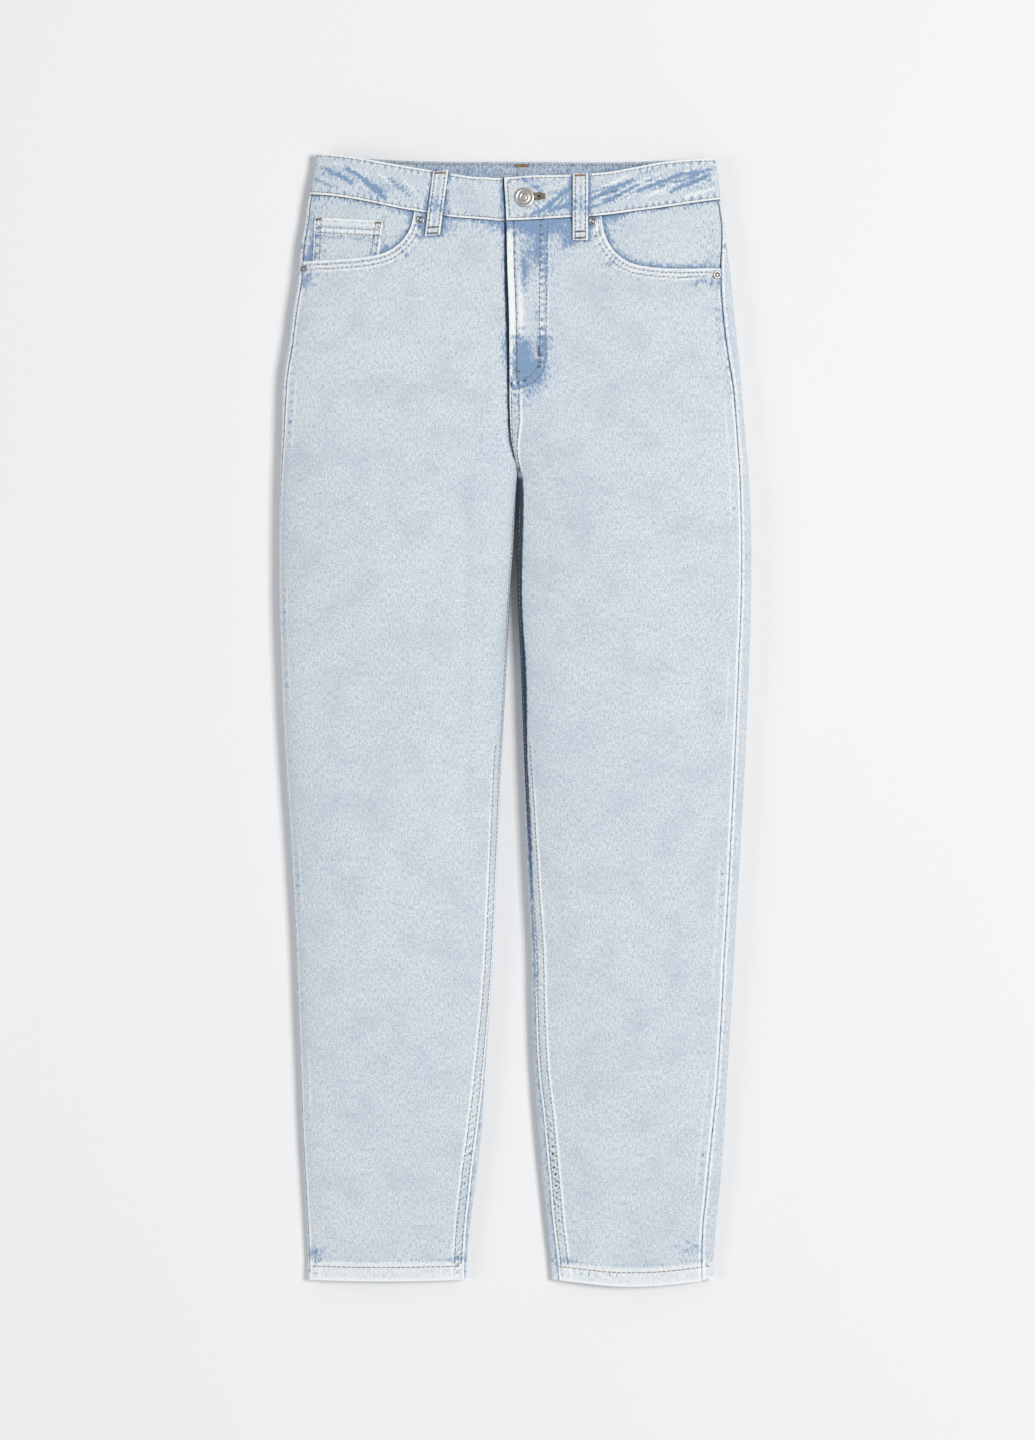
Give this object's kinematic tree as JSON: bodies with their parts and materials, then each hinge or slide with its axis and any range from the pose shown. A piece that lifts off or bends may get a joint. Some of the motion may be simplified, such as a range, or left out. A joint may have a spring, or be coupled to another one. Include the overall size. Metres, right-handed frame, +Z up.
{
  "type": "jeans",
  "caption": "Light-wash high-waisted tapered jeans laid flat on their back, closed at the waist, hollow through legs and waist.",
  "frame": {"origin": "middle of the underside's outline, on the plane that the garment lies on", "axes": "+X to the wearer's left, +Y from the hems to the waist, +Z up from the surface to the garment's front"},
  "size_m": [0.4091, 0.9815, 0.034],
  "materials": {
    "front_panel_right": "matte light-wash denim",
    "front_panel_left": "matte light-wash denim",
    "back_panel_right": "matte light-wash denim",
    "back_panel_left": "matte light-wash denim",
    "yoke_right": "matte light-wash denim",
    "yoke_left": "matte light-wash denim",
    "waistband_right": "matte light-wash denim",
    "waistband_left": "matte light-wash denim",
    "pocket_bearer_right": "matte denim, less faded",
    "pocket_bearer_left": "matte denim, less faded",
    "coin_pocket": "matte light-wash denim",
    "back_pocket_right": "matte light-wash denim",
    "back_pocket_left": "matte light-wash denim",
    "belt_loop_front_right": "matte light-wash denim",
    "belt_loop_front_left": "matte light-wash denim",
    "belt_loop_back_right": "matte light-wash denim",
    "belt_loop_back_center": "matte light-wash denim",
    "belt_loop_back_left": "matte light-wash denim",
    "fly_shield": "matte light-wash denim",
    "fly_zip": "woven tape",
    "button": "satin",
    "rivet_right_inner": "satin",
    "rivet_left_inner": "satin",
    "rivet_right_outer": "satin",
    "rivet_left_outer": "satin"
  },
  "bodies": {
    "root": {"front_panel_right": "front_panel_right", "front_panel_left": "front_panel_left", "back_panel_right": "back_panel_right", "back_panel_left": "back_panel_left", "yoke_right": "yoke_right", "yoke_left": "yoke_left", "waistband_right": "waistband_right", "waistband_left": "waistband_left", "pocket_bearer_right": "pocket_bearer_right", "pocket_bearer_left": "pocket_bearer_left", "coin_pocket": "coin_pocket", "back_pocket_right": "back_pocket_right", "back_pocket_left": "back_pocket_left", "belt_loop_front_right": "belt_loop_front_right", "belt_loop_front_left": "belt_loop_front_left", "belt_loop_back_right": "belt_loop_back_right", "belt_loop_back_center": "belt_loop_back_center", "belt_loop_back_left": "belt_loop_back_left", "fly_shield": "fly_shield", "fly_zip": "fly_zip", "button": "button", "rivet_right_inner": "rivet_right_inner", "rivet_left_inner": "rivet_left_inner", "rivet_right_outer": "rivet_right_outer", "rivet_left_outer": "rivet_left_outer"}
  },
  "joints": []
}
